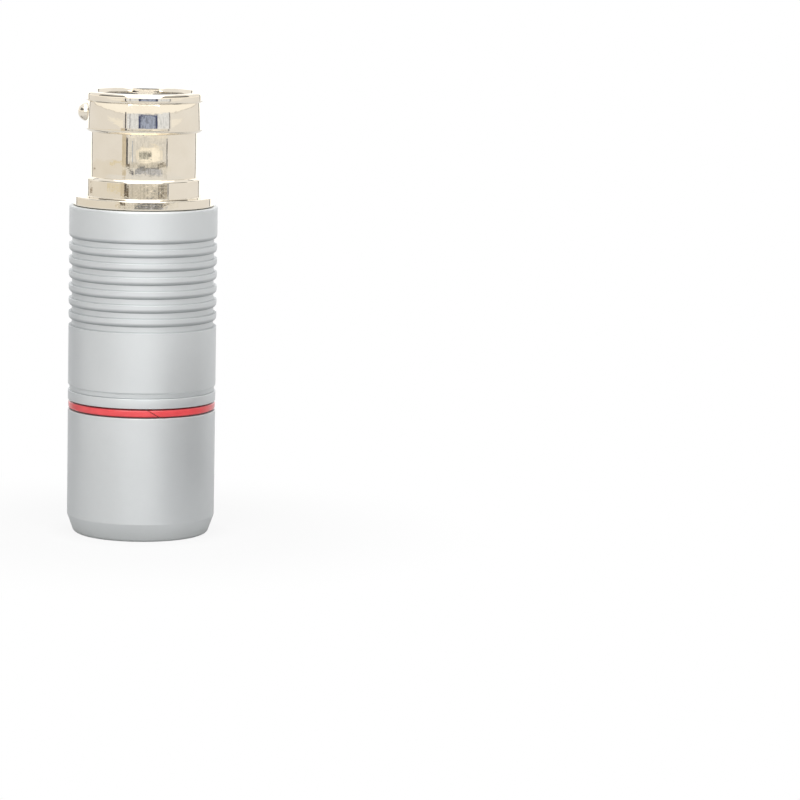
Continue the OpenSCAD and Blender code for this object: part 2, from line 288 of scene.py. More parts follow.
SPIGOT_R = 8.3
SPIGOT_LEAD = 0.4
NOSE_SPIGOT_END = 38.6
NUT_BORE_R = 7.1
NUT_SEAT = 41.6
FLANGE_R = 9.5
FLANGE_LOW = 44.72
FLANGE_TOP = 45.95
BAND_R = 7.85
LOW_BAND_EDGE = 48.27
LOW_BAND_TOP = 48.6
WAIST_R = 7.35
WAIST_CROWN = 0.035
WAIST_STEPS = 12
CHAMFER_R = 7.52
HIGH_BAND_LOW = 54.6
RIM = 60.0
waist = []
for number in range(WAIST_STEPS + 1):
    share = number / WAIST_STEPS
    waist.append((WAIST_R + WAIST_CROWN * (1 - (2 * share - 1) ** 2),
                  LOW_BAND_TOP + (HIGH_BAND_LOW - LOW_BAND_TOP) * share))

# The upper band leans in towards the neck of the bead, more and more steeply. The bead has a round foot, a
# wall that leans in a little, and a round shoulder up to the rim.
CROWN = [(7.875, 54.95), (7.862, 55.5), (7.846, 56.1), (7.826, 56.7), (7.806, 57.2), (7.782, 57.7),
         (7.752, 58.2), (7.71, 58.66)]
BEAD = [(7.80, 58.76), (7.865, 58.80), (7.905, 58.87), (7.919, 58.95), (7.9215, 59.03), (7.9190, 59.15),
        (7.9158, 59.28), (7.9118, 59.42), (7.9070, 59.56), (7.875, 59.76), (7.80, 59.89), (7.68, 59.97),
        (7.52, RIM)]

# Heights of points between the rounds, which keep the walls straight in the polished shading.
FLANGE_SUPPORTS = (44.9, 45.73)
LOW_BAND_SUPPORTS = (46.12, 48.1)
MOUTH_R = 6.85
MOUTH_EDGE_R = 7.15
MOUTH_EDGE = 59.5
MOUTH_FLOOR = 55.3
NOSE_BORE_R = 6.3
nose_foot = [(NUT_BORE_R, NOSE_SPIGOT_END), (SPIGOT_R - SPIGOT_LEAD, NOSE_SPIGOT_END),
             (SPIGOT_R, NOSE_SPIGOT_END + SPIGOT_LEAD), (SPIGOT_R, FLANGE_LOW)]
nose_flange = [(FLANGE_R, height) for height in (FLANGE_LOW, *FLANGE_SUPPORTS, FLANGE_TOP)]
nose_low_band = [(BAND_R, height) for height in (FLANGE_TOP, *LOW_BAND_SUPPORTS, LOW_BAND_EDGE)]
nose_low_band.append((CHAMFER_R, LOW_BAND_TOP))
nose_high_band = [(CHAMFER_R, HIGH_BAND_LOW)] + CROWN + BEAD
nose_inside = [(MOUTH_EDGE_R, RIM), (MOUTH_R, MOUTH_EDGE), (MOUTH_R, MOUTH_FLOOR), (NOSE_BORE_R, MOUTH_FLOOR),
               (NOSE_BORE_R, NUT_SEAT), (NUT_BORE_R, NUT_SEAT)]
nose = turned("nose", nose_foot + nose_flange + nose_low_band + waist + nose_high_band + nose_inside,
              [(0.06, [(FLANGE_R, FLANGE_LOW)]), (0.14, [(FLANGE_R, FLANGE_TOP)]),
               (0.10, [(BAND_R, LOW_BAND_EDGE), CROWN[0]]),
               (0.08, [(CHAMFER_R, LOW_BAND_TOP), (CHAMFER_R, HIGH_BAND_LOW), (BAND_R, FLANGE_TOP)]),
               (0.06, [(MOUTH_EDGE_R, RIM), (MOUTH_R, MOUTH_EDGE)])])

KEY_HALF = 1.45
KEY_FLOOR = 5.8
KEY_WALL = 0.4
KEY_SLOT_LOW = 52.0
RIB_LOW = 47.05
RIB_LIMIT_R = 7.1
CATCH_HEIGHT = 57.12
CATCH_HOLE_R = 1.65
CATCH_HOLE_LENGTH = 6.0
CATCH_HOLE_PLACE = (-7.45, 0.0, CATCH_HEIGHT)
rib = block("key_rib", (-KEY_HALF - KEY_WALL, KEY_FLOOR - KEY_WALL, RIB_LOW),
            (KEY_HALF + KEY_WALL, TOOL_REACH, RIM))
cut(rib, drill("rib_limit_tool", RIB_LIMIT_R, (0, 0, RIM), 2 * TOOL_REACH), "INTERSECT")
cut(nose, rib, "UNION")
cut(nose, block("key_slot_tool", (-KEY_HALF, KEY_FLOOR, KEY_SLOT_LOW), (KEY_HALF, TOOL_REACH, TOOL_TOP)))
cut(nose, drill("catch_hole_tool", CATCH_HOLE_R, CATCH_HOLE_PLACE, CATCH_HOLE_LENGTH, SIDEWAYS))
hand_over(nose, nickel, "body", "nose_shell")

# Front insulator: moulded in black plastic, with a fine matt face and three bevelled holes for the pins of
# the counterpart. It is dropped into the mouth along the key rib, and the catch's sleeve pins it there.
BLACK_LIGHT = (0.030, 0.030, 0.032)
BLACK_DARK = (0.018, 0.018, 0.020)
TOOL_FOOT = -5.0
FIT_AIR = 0.05
INSULATOR_R = 6.25
INSULATOR_LOW = 47.0
HEAD_R = 6.8
HEAD_FACE = 59.4
HEAD_EDGE = 0.25
HEAD_STEPS = 128
SOCKET_HOLE_R = 1.65
PIN_HOLE_MIDDLE = 55.0
LEAD_R = 2.25
LEAD_DEPTH = 0.6
COLLAR_SEAT_R = 1.95
COLLAR_SEAT_DEPTH = 0.65
CONTACT_CIRCLE_R = 4.0
CONTACT_TURNS = [math.radians(angle) for angle in (135, 45, 270)]
CONTACT_PLACES = [(CONTACT_CIRCLE_R * math.cos(turn), CONTACT_CIRCLE_R * math.sin(turn))
                  for turn in CONTACT_TURNS]
black, tree, shader = new_finish("moulded_black")
mm = in_mm(tree)
feed(tree, mottled(tree, noise(tree, mm, 0.5), BLACK_DARK, BLACK_LIGHT), shader.inputs["Base Color"])
feed(tree, spread(tree, noise(tree, mm, 2.0), 0.16, 0.26), shader.inputs["Roughness"])
bumped(tree, shader, noise(tree, mm, 6.0), 0.01 * MM, 0.15)
head_edge = [(HEAD_R, HEAD_FACE - HEAD_EDGE), (HEAD_R - HEAD_EDGE, HEAD_FACE)]
front_outline = ([(0.0, INSULATOR_LOW), (INSULATOR_R, INSULATOR_LOW), (INSULATOR_R, MOUTH_FLOOR),
                  (HEAD_R, MOUTH_FLOOR)] + head_edge + [(0.0, HEAD_FACE)])
front = turned("front_insulator_body", front_outline, [(0.08, head_edge)], closed=False, steps=HEAD_STEPS)
for x, y in CONTACT_PLACES:
    cut(front, drill("pin_hole_tool", SOCKET_HOLE_R, (x, y, PIN_HOLE_MIDDLE), TOOL_REACH))
    bpy.ops.object.select_all(action="DESELECT")
    bpy.ops.mesh.primitive_cone_add(vertices=TOOL_SIDES, radius1=SOCKET_HOLE_R, radius2=LEAD_R,
                                    depth=LEAD_DEPTH, location=(x, y, HEAD_FACE))
    lead = bpy.context.object
    settle(lead)
    cut(front, lead)
    cut(front, drill("collar_seat_tool", COLLAR_SEAT_R, (x, y, INSULATOR_LOW), 2 * COLLAR_SEAT_DEPTH))
rib_half = KEY_HALF + KEY_WALL + FIT_AIR
rib_floor = KEY_FLOOR - KEY_WALL - FIT_AIR
cut(front, block("rib_groove_tool", (-rib_half, rib_floor, TOOL_FOOT), (rib_half, TOOL_REACH, TOOL_TOP)))
cut(front, drill("catch_pocket_tool", CATCH_HOLE_R, CATCH_HOLE_PLACE, CATCH_HOLE_LENGTH, SIDEWAYS))
hand_over(front, black, "body", "front_insulator")

# Contacts: turned from brass and gold plated, with a sawn spring socket at the front and an open solder cup
# at the back. Their collars sit between the two insulators.
GOLD_LIGHT = (0.92, 0.70, 0.34)
GOLD_DARK = (0.84, 0.60, 0.26)
GOLD_MARKS = (0.3, 0.3, 8.0)
SMALL_TURN_STEPS = 64
CUP_R = 1.45
CUP_BORE_R = 1.05
CUP_END = 33.5
CUP_FLOOR = 38.5
CUP_OPEN_TOP = 36.2
CUP_WALL_LEFT = 0.2
CUP_DRILL_POINT = 0.4
COLLAR_R = 1.9
CONTACT_COLLAR_LOW = 46.4
CONTACT_COLLAR_TOP = 47.6
SOCKET_R = 1.6
SOCKET_BORE_R = 1.2
SOCKET_FLOOR = 48.6
SOCKET_DRILL_POINT = 0.35
SOCKET_TIP = 58.7
SOCKET_LEAD = 0.25
SOCKET_TIP_R = 1.4
SOCKET_MOUTH_R = 1.3
SOCKET_MOUTH_DEPTH = 0.15
SAW_CUT_LOW = 51.5
SAW_CUT_HALF = 0.175
gold, tree, shader = new_finish("gold_plate", 1.0)
mm = in_mm(tree)
feed(tree, mottled(tree, noise(tree, mm, 0.6), GOLD_DARK, GOLD_LIGHT), shader.inputs["Base Color"])
gold_turning = noise(tree, mm, 1.0, stretch=GOLD_MARKS)
feed(tree, spread(tree, gold_turning, 0.16, 0.28), shader.inputs["Roughness"])
socket_edge = (SOCKET_R, SOCKET_TIP - SOCKET_LEAD)
contact_outline = [(0.0, CUP_FLOOR + CUP_DRILL_POINT), (CUP_BORE_R, CUP_FLOOR), (CUP_BORE_R, CUP_END),
                   (CUP_R, CUP_END), (CUP_R, CONTACT_COLLAR_LOW), (COLLAR_R, CONTACT_COLLAR_LOW),
                   (COLLAR_R, CONTACT_COLLAR_TOP), (SOCKET_R, CONTACT_COLLAR_TOP), socket_edge,
                   (SOCKET_TIP_R, SOCKET_TIP), (SOCKET_MOUTH_R, SOCKET_TIP),
                   (SOCKET_BORE_R, SOCKET_TIP - SOCKET_MOUTH_DEPTH), (SOCKET_BORE_R, SOCKET_FLOOR),
                   (0.0, SOCKET_FLOOR - SOCKET_DRILL_POINT)]
contact = turned("contact_1_turned", contact_outline,
                 [(0.06, [(COLLAR_R, CONTACT_COLLAR_LOW), (COLLAR_R, CONTACT_COLLAR_TOP), socket_edge])],
                 closed=False, steps=SMALL_TURN_STEPS)
cut(contact, block("saw_tool", (-TOOL_REACH, -SAW_CUT_HALF, SAW_CUT_LOW),
                   (TOOL_REACH, SAW_CUT_HALF, TOOL_TOP)))
cut(contact, block("cup_tool", (CUP_WALL_LEFT, -TOOL_REACH, TOOL_FOOT),
                   (TOOL_REACH, TOOL_REACH, CUP_OPEN_TOP)))
contacts = [contact]
for number in (2, 3):
    select_only(contact)
    bpy.ops.object.duplicate(linked=False)
    copy = bpy.context.object
    copy.name = "contact_%d_turned" % number
    copy.data.name = copy.name
    contacts.append(copy)
for number, piece in enumerate(contacts):
    piece.rotation_euler = (0, 0, CONTACT_TURNS[number])
    piece.location = (*CONTACT_PLACES[number], 0)
    settle(piece)
    hand_over(piece, gold, "body", "contact_%d" % (number + 1))

# Rear insulator and its ring nut: a second black moulding that closes over the contacts' collars, held in
# the nose by a nickel-plated nut. Both are seen only through the cable hole.
for name, finish in (("rear_insulator", black), ("insulator_nut", nickel)):
    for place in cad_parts[name].material_slots:
        place.material = finish

# Catch: a round-nosed pin, plated like the nose, in a pressed sleeve that its hole in the band shows.
# A coil spring behind it lets it give way when the plug is pulled. Both are turned along Z, as distances
# from the plug's axis, and then laid across.
PIN_TIP = 8.95
PIN_NOSE_R = 1.3
PIN_NOSE_START = 24
PIN_NOSE_STEPS = 11
PIN_R = 1.24
PIN_SHOULDER = 8.06
PIN_COLLAR_R = 1.37
PIN_COLLAR_FACE = 6.95
PIN_END = 6.4
PIN_BORE_R = 0.72
PIN_BORE_FLOOR = 7.7
SLEEVE_R = 1.6
SLEEVE_BORE_R = 1.42
SLEEVE_LIP_R = 1.29
SLEEVE_LIP = 7.0
SLEEVE_FACE = 7.62
SLEEVE_END = 4.5
SLEEVE_FLOOR = 4.8


def rounded(centre, width, height, start, end, steps):
    """Points of an elliptic round about a centre, between two angles in degrees."""
    points = []
    for number in range(steps + 1):
        angle = math.radians(start + (end - start) * number / steps)
        points.append((centre[0] + width * math.cos(angle), centre[1] + height * math.sin(angle)))
    return points


def laid_across(piece):
    """Turns a piece that was made along Z, so that its axis lies along -X at the height of the catch."""
    piece.rotation_euler = (0, -math.pi / 2, 0)
    piece.location = (0, 0, CATCH_HEIGHT)
    settle(piece)


pin_collar = [(PIN_COLLAR_R, PIN_END), (PIN_COLLAR_R, PIN_COLLAR_FACE)]
pin_nose = rounded((0.0, PIN_TIP - PIN_NOSE_R), PIN_NOSE_R, PIN_NOSE_R, PIN_NOSE_START, 90, PIN_NOSE_STEPS)
pin_outline = ([(0.0, PIN_BORE_FLOOR), (PIN_BORE_R, PIN_BORE_FLOOR), (PIN_BORE_R, PIN_END)] + pin_collar
               + [(PIN_R, PIN_COLLAR_FACE), (PIN_R, PIN_SHOULDER)] + pin_nose)
pin = turned("catch_pin", pin_outline, [(0.04, pin_collar)], closed=False, steps=SMALL_TURN_STEPS)
laid_across(pin)
hand_over(pin, nickel, "latch", "latch_pin")
sleeve_face = [(SLEEVE_R, SLEEVE_FACE), (SLEEVE_LIP_R, SLEEVE_FACE)]
sleeve_outline = ([(0.0, SLEEVE_END), (SLEEVE_R, SLEEVE_END)] + sleeve_face
                  + [(SLEEVE_LIP_R, SLEEVE_LIP), (SLEEVE_BORE_R, SLEEVE_LIP), (SLEEVE_BORE_R, SLEEVE_FLOOR),
                     (0.0, SLEEVE_FLOOR)])
sleeve = turned("catch_sleeve", sleeve_outline, [(0.05, sleeve_face)], closed=False, steps=SMALL_TURN_STEPS)
laid_across(sleeve)
hand_over(sleeve, nickel, "body", "latch_sleeve")

# Spring of the catch: six turns of hard steel wire, wound bright, between the sleeve's floor and the pin.
STEEL_LIGHT = (0.62, 0.62, 0.63)
STEEL_DARK = (0.48, 0.48, 0.50)
WIRE_R = 0.1
WIRE_SIDES = 10
COIL_R = 0.5
COIL_LOW = 4.92
COIL_LENGTH = 2.66
COIL_TURNS = 6
COIL_STEPS = 32
MOST_END_SIDES = 12


def wound(piece, turns, pitch, steps):
    """Winds a closed outline about Z into a coil, and closes its two ends."""
    coil = piece.modifiers.new("coil", "SCREW")
    coil.axis = "Z"
    coil.angle = math.tau
    coil.iterations = turns
    coil.screw_offset = pitch
    coil.steps = steps
    coil.render_steps = steps
    bpy.ops.object.modifier_apply(modifier=coil.name)
    bpy.ops.object.mode_set(mode="EDIT")
    bpy.ops.mesh.select_all(action="SELECT")
    bpy.ops.mesh.remove_doubles(threshold=MERGE_GAP)
    bpy.ops.mesh.select_all(action="DESELECT")
    bpy.ops.mesh.select_non_manifold()
    bpy.ops.mesh.fill_holes(sides=MOST_END_SIDES)
    close_up()


steel, tree, shader = new_finish("spring_wire", 1.0)
mm = in_mm(tree)
feed(tree, mottled(tree, noise(tree, mm, 3.0), STEEL_DARK, STEEL_LIGHT), shader.inputs["Base Color"])
feed(tree, spread(tree, noise(tree, mm, 6.0), 0.22, 0.36), shader.inputs["Roughness"])
bpy.ops.object.select_all(action="DESELECT")
bpy.ops.mesh.primitive_circle_add(vertices=WIRE_SIDES, radius=WIRE_R, fill_type="NOTHING",
                                  location=(COIL_R, 0, COIL_LOW), rotation=(math.pi / 2, 0, 0))
spring = bpy.context.object
spring.name = "catch_spring"
settle(spring)
wound(spring, COIL_TURNS, COIL_LENGTH / COIL_TURNS, COIL_STEPS)
laid_across(spring)
hand_over(spring, steel, "body", "latch_spring")
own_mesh(spring)

# Barrel: an aluminium tube, turned, bead blasted and anodised grey, with a short neck at its foot. Seven
# grooves leave ribs for the grip, each with a rounded lower side that catches less of the light; shade is
# painted darker into the colour on that underside and at each groove's foot.
# It screws onto the spigots of nose and coupling.
GREY_LIGHT = (0.710, 0.730, 0.737)
GREY_DARK = (0.680, 0.700, 0.707)
GREY_PAINTED_SHADE = (0.40, 0.42, 0.43)
GRAIN_PER_MM = 9.0
BLAST_LOW = 0.50
BLAST_HIGH = 0.56
BODY_R = 10.0
BARREL_BORE_R = 8.4
BARREL_LOW = 19.56
BARREL_TOP = 44.6
NECK_TOP = 20.12
NECK_R = 9.80
NECK_FOOT_R = 9.78
BARREL_SHOULDER = 20.32
GROOVE_FIRST = 29.02
GROOVE_PITCH = 1.85
GROOVE_COUNT = 7
GROOVE_DEPTH = 0.43

# Heights on one groove, from its middle: its lower wall, and where the round of the rib above it starts
# and ends.
GROOVE_FOOT = -0.66
ROUND_FOOT = 0.15
ROUND_TOP = 0.70
RIB_ROUND_STEPS = 9
RIB_SUPPORT_LOW = 0.12
RIB_SUPPORT_TOP = 0.06
BARREL_SUPPORT = 0.4

# Share of the painted shade at heights on one groove: its foot, and the underside of the rib above.
PAINTED_SHADE_STOPS = [(GROOVE_FOOT, 0.5), (GROOVE_FOOT + 0.2, 0.0), (ROUND_FOOT - 0.04, 0.0), (ROUND_FOOT, 1.0),
              (ROUND_TOP, 0.0)]


def shader_group(name, inputs, outputs):
    """An empty shader node group with float inputs (name, value) and float outputs."""
    group = bpy.data.node_groups.new(name, "ShaderNodeTree")
    for label, value in inputs:
        socket = group.interface.new_socket(label, in_out="INPUT", socket_type="NodeSocketFloat")
        socket.default_value = value
    for label in outputs:
        group.interface.new_socket(label, in_out="OUTPUT", socket_type="NodeSocketFloat")
    return group, group.nodes.new("NodeGroupInput"), group.nodes.new("NodeGroupOutput")


def reckoned(tree, operation, *values):
    """One step of arithmetic on outputs and numbers."""
    step = tree.nodes.new("ShaderNodeMath")
    step.operation = operation
    for place, value in enumerate(values):
        feed(tree, value, step.inputs[place])
    return step.outputs["Value"]


def height_in_mm(tree):
    """The height on the plug, in mm."""
    parts = tree.nodes.new("ShaderNodeSeparateXYZ")
    feed(tree, in_mm(tree), parts.inputs["Vector"])
    return parts.outputs["Z"]


blast, blast_in, blast_out = shader_group(
    "bead_blast", [("Grain per mm", GRAIN_PER_MM), ("Low", BLAST_LOW), ("High", BLAST_HIGH)],
    ["Shade", "Roughness", "Height"])
mm = in_mm(blast)
grain = noise(blast, mm, blast_in.outputs["Grain per mm"])
clouds = noise(blast, mm, 0.12)
shade = reckoned(blast, "ADD", spread(blast, grain, -0.1, 0.3), spread(blast, clouds, 0.0, 0.8))
rough = spread(blast, noise(blast, mm, 0.8, 3.0), blast_in.outputs["Low"], blast_in.outputs["High"])
feed(blast, shade, blast_out.inputs["Shade"])
feed(blast, rough, blast_out.inputs["Roughness"])
feed(blast, grain, blast_out.inputs["Height"])
anodised, tree, shader = new_finish("grey_anodised_aluminium", 0.7)
blasted = tree.nodes.new("ShaderNodeGroup")
blasted.node_tree = blast
blasted.inputs["Grain per mm"].default_value = GRAIN_PER_MM
blasted.inputs["Low"].default_value = BLAST_LOW
blasted.inputs["High"].default_value = BLAST_HIGH
height = height_in_mm(tree)
above_foot = reckoned(tree, "SUBTRACT", height, GROOVE_FIRST + GROOVE_FOOT)
in_groove = reckoned(tree, "FLOORED_MODULO", above_foot, GROOVE_PITCH)
# Painted shade: a darker colour on the underside of each rib and at each groove's foot, where shade falls.
painted_shade_ramp = tree.nodes.new("ShaderNodeValToRGB")
stops = painted_shade_ramp.color_ramp.elements
stops.remove(stops[1])
stops[0].color = (PAINTED_SHADE_STOPS[0][1], PAINTED_SHADE_STOPS[0][1], PAINTED_SHADE_STOPS[0][1], 1)
for rise, share in PAINTED_SHADE_STOPS[1:]:
    stops.new((rise - GROOVE_FOOT) / GROOVE_PITCH).color = (share, share, share, 1)
feed(tree, reckoned(tree, "DIVIDE", in_groove, GROOVE_PITCH), painted_shade_ramp.inputs["Fac"])
groove_middle = GROOVE_FIRST + (GROOVE_COUNT - 1) / 2 * GROOVE_PITCH
ribbed = reckoned(tree, "COMPARE", height, groove_middle, GROOVE_COUNT / 2 * GROOVE_PITCH)
painted_shade_share = reckoned(tree, "MULTIPLY", painted_shade_ramp.outputs["Color"], ribbed)
grey = tinted(tree, blasted.outputs["Shade"], GREY_DARK, GREY_LIGHT)
feed(tree, tinted(tree, painted_shade_share, grey, GREY_PAINTED_SHADE), shader.inputs["Base Color"])
feed(tree, blasted.outputs["Roughness"], shader.inputs["Roughness"])
bumped(tree, shader, blasted.outputs["Height"], 0.01 * MM, 0.4)

barrel_foot = [(NECK_FOOT_R, BARREL_LOW), (NECK_R, NECK_TOP), (BODY_R, BARREL_SHOULDER)]
barrel_outline = [(BARREL_BORE_R, BARREL_LOW)] + barrel_foot
groove_floor_r = BODY_R - GROOVE_DEPTH
groove = ([(BODY_R, GROOVE_FOOT - RIB_SUPPORT_LOW), (BODY_R, GROOVE_FOOT), (groove_floor_r, GROOVE_FOOT)]
          + rounded((groove_floor_r, ROUND_TOP), GROOVE_DEPTH, ROUND_TOP - ROUND_FOOT, -90, 0,
                    RIB_ROUND_STEPS)
          + [(BODY_R, ROUND_TOP + RIB_SUPPORT_TOP)])
rib_edges = []
for number in range(GROOVE_COUNT):
    middle = GROOVE_FIRST + GROOVE_PITCH * number
    barrel_outline += [(r, middle + rise) for r, rise in groove]
    rib_edges.append((BODY_R, middle + GROOVE_FOOT))
barrel_outline += [(BODY_R, BARREL_TOP - BARREL_SUPPORT), (BODY_R, BARREL_TOP), (BARREL_BORE_R, BARREL_TOP)]
barrel = turned("grip_barrel", barrel_outline,
                [(0.05, barrel_foot), (0.24, [(BODY_R, BARREL_TOP)]), (0.035, rib_edges)])
hand_over(barrel, anodised, "body", "barrel")

# Coupling: the same grey aluminium, with a narrow collar between barrel and marker ring and a cut thread
# for the end cap on its rear spigot.
COLLAR_LOW = 18.2
COLLAR_TOP = 19.52
COUPLING_END = 10.8
COUPLING_BORE_R = 7.35
CABLE_BORE_R = 6.7
COLLET_STOP = 17.15
THREAD_CORE_R = 8.05
RING_LAND_R = 8.25
RING_LAND_LOW = 16.8
FRONT_SPIGOT_END = 25.2
THREAD_ROOT_R = 7.95
THREAD_LOW = 11.1
THREAD_DEPTH = 0.29
THREAD_CREST = 0.07
THREAD_PITCH = 1.0
THREAD_TURNS = 5
THREAD_STEPS = 96
rear_spigot = [(COUPLING_BORE_R, COUPLING_END), (THREAD_CORE_R - SPIGOT_LEAD, COUPLING_END),
               (THREAD_CORE_R, COUPLING_END + SPIGOT_LEAD), (THREAD_CORE_R, RING_LAND_LOW),
               (RING_LAND_R, RING_LAND_LOW), (RING_LAND_R, COLLAR_LOW)]
collar = [(BODY_R, COLLAR_LOW), (BODY_R, COLLAR_TOP)]
front_spigot = [(SPIGOT_R, COLLAR_TOP), (SPIGOT_R, FRONT_SPIGOT_END - SPIGOT_LEAD),
                (SPIGOT_R - SPIGOT_LEAD, FRONT_SPIGOT_END), (CABLE_BORE_R, FRONT_SPIGOT_END),
                (CABLE_BORE_R, COLLET_STOP), (COUPLING_BORE_R, COLLET_STOP)]
coupling = turned("coupling_collar", rear_spigot + collar + front_spigot, [(0.08, collar)])
thread_top_r = THREAD_ROOT_R + THREAD_DEPTH
thread_outline = [(THREAD_ROOT_R, THREAD_LOW), (thread_top_r, THREAD_LOW + THREAD_DEPTH),
                  (thread_top_r, THREAD_LOW + THREAD_DEPTH + THREAD_CREST),
                  (THREAD_ROOT_R, THREAD_LOW + 2 * THREAD_DEPTH + THREAD_CREST)]
thread = start_piece("cap_thread", (THREAD_ROOT_R, 0.0, THREAD_LOW))
draw_outline(thread_outline, True)
bpy.ops.object.mode_set(mode="OBJECT")
wound(thread, THREAD_TURNS, THREAD_PITCH, THREAD_STEPS)
cut(coupling, thread, "UNION")
hand_over(coupling, anodised, "body", "coupling")

# Marker ring: a red plastic ring, split by a slanted cut so that it snaps over the land of the coupling.
# Its edges sit in the seams to collar and cap, where shade is painted into their colour as a dark red. It
# tells the channel.
RED_LIGHT = (1.00, 0.080, 0.092)
RED_DARK = (0.94, 0.062, 0.072)
RED_PAINTED_SHADE = (0.24, 0.008, 0.010)
EDGE_SHADE_START = 0.38
EDGE_SHADE_FULL = 0.46
RING_R = 9.95
RING_BORE_R = 8.28
RING_LOW = 16.95
RING_TOP = 18.15
RING_EDGE = 0.25
RING_MIDDLE = (RING_TOP + RING_LOW) / 2
SLIT_HALF = (0.045, 1.7, 3.0)
SLIT_TURN = math.radians(10.7)
SLIT_SLANT = math.radians(-60)
red, tree, shader = new_finish("red_plastic")
shader.inputs["Coat Weight"].default_value = 0.6
shader.inputs["Coat Roughness"].default_value = 0.2
mm = in_mm(tree)
# Painted shade: the ring's colour turns dark red towards its top and bottom edges, where the seams shade
# them.
off_middle = reckoned(tree, "ABSOLUTE", reckoned(tree, "SUBTRACT", height_in_mm(tree), RING_MIDDLE))
edge = spread(tree, off_middle, 0.0, 1.0, EDGE_SHADE_START, EDGE_SHADE_FULL)
face = mottled(tree, noise(tree, mm, 0.5), RED_DARK, RED_LIGHT)
feed(tree, tinted(tree, edge, face, RED_PAINTED_SHADE), shader.inputs["Base Color"])
feed(tree, spread(tree, noise(tree, mm, 1.2), 0.28, 0.42), shader.inputs["Roughness"])
ring_bore = [(RING_BORE_R, RING_LOW), (RING_BORE_R, RING_TOP)]
ring_face = [(RING_R - RING_EDGE, RING_LOW), (RING_R, RING_LOW + RING_EDGE), (RING_R, RING_TOP - RING_EDGE),
             (RING_R - RING_EDGE, RING_TOP)]
ring = turned("marker_ring_red", ring_bore[:1] + ring_face + ring_bore[1:],
              [(0.10, ring_bore), (0.12, ring_face)])
slit = block("ring_slit_tool", [-half for half in SLIT_HALF], SLIT_HALF)
slit.matrix_world = (Matrix.Rotation(SLIT_TURN, 4, "Z")
                     @ Matrix.Translation((0, -(RING_R + RING_BORE_R) / 2, RING_MIDDLE))
                     @ Matrix.Rotation(SLIT_SLANT, 4, "Y"))
settle(slit)
cut(ring, slit)
hand_over(ring, red, "body", "marker_ring")

# Collet: a nickel-plated brass tube whose tip is sawn into eight springy fingers. The cap pushes its closing
# cone over the tip, and the fingers grip the cable.
COLLET_R = 7.3
COLLET_BORE_R = 6.5
COLLET_TIP = 2.7
COLLET_TIP_R = 6.9
COLLET_CONE_TOP = 3.8
COLLET_LEAD = 0.1
FINGER_MOUTH = (6.8, COLLET_TIP)
FINGER_FLOOR = (COLLET_BORE_R, 3.4)
SAW_HALF = 0.25
SAW_TOP = 12.7
SAW_FIRST = math.radians(22.5)
SAW_CUTS = 4
finger_edges = [(COLLET_TIP_R, COLLET_TIP), (COLLET_R, COLLET_CONE_TOP)]
collet_outline = ([FINGER_MOUTH] + finger_edges
                  + [(COLLET_R, COLLET_STOP - COLLET_LEAD), (COLLET_R - COLLET_LEAD, COLLET_STOP),
                     (COLLET_BORE_R, COLLET_STOP), FINGER_FLOOR])
collet = turned("clamp_collet", collet_outline, [(0.05, finger_edges), (0.10, [FINGER_FLOOR])])
for number in range(SAW_CUTS):
    saw = block("saw_tool", (-TOOL_REACH, -SAW_HALF, TOOL_FOOT), (TOOL_REACH, SAW_HALF, SAW_TOP))
    saw.rotation_euler = (0, 0, SAW_FIRST + math.pi / SAW_CUTS * number)
    settle(saw)
    cut(collet, saw)
hand_over(collet, nickel, "clamp", "collet")

# End cap: grey aluminium like the barrel, with a bevelled foot, a generously rounded cable mouth and the
# closing cone inside. It screws onto the coupling's thread.
CAP_TOP = 16.9
CAP_FOOT = (9.1, 0.0)
CAP_BEVEL_TOP = 2.5
CAP_THREAD_R = 8.3
CAP_THREAD_FOOT = 10.5
COLLET_ROOM_R = 7.45
CONE_TOP = 4.05
CONE_FOOT = 2.81
CABLE_MOUTH_R = 7.0
CABLE_MOUTH_ROUND = 1.1
CABLE_MOUTH_STEPS = 10
cap_edges = [(BODY_R, CAP_BEVEL_TOP), (BODY_R, CAP_TOP), (CAP_THREAD_R, CAP_TOP)]
cap_inside = [(CAP_THREAD_R, CAP_THREAD_FOOT), (COLLET_ROOM_R, CAP_THREAD_FOOT), (COLLET_ROOM_R, CONE_TOP),
              (CABLE_MOUTH_R, CONE_FOOT)]
cable_mouth = rounded((CABLE_MOUTH_R + CABLE_MOUTH_ROUND, CABLE_MOUTH_ROUND), CABLE_MOUTH_ROUND,
                      CABLE_MOUTH_ROUND, 180, 270, CABLE_MOUTH_STEPS)
cap = turned("screw_cap", [CAP_FOOT] + cap_edges + cap_inside + cable_mouth,
             [(0.42, [CAP_FOOT]), (0.10, cap_edges)])
hand_over(cap, anodised, "cap", "end_cap")

# Floor: a plain white sheet, a hair below the cap's foot. It keeps the plug's shadow, and a painted shadow
# makes it greyer close round the foot. The camera sees it as the white of the picture.
FLOOR_FAR = (0.86, 0.86, 0.86)
FLOOR_PAINTED_SHADOW = (0.56, 0.56, 0.55)
FLOOR_SHADOW_REACH = (9.0 * MM, 13.5 * MM)
FLOOR_HEIGHT = -0.02 * MM
FLOOR_SIZE = 6.0
SEEN_FADE = (12 * MM, 50 * MM)
SEEN_NEAR = 0.9
MIRRORED_FADE = (15 * MM, 100 * MM)
MIRRORED_WHITE = 0.84


def white_in_view(tree, other, mirrored):
    """1 for what the camera sees, a mirrored level for what metal mirrors, another level for the rest."""
    ray = tree.nodes.new("ShaderNodeLightPath")
    glossy = spread(tree, ray.outputs["Is Glossy Ray"], other, mirrored, 0.0, 1.0)
    return reckoned(tree, "MAXIMUM", glossy, ray.outputs["Is Camera Ray"])


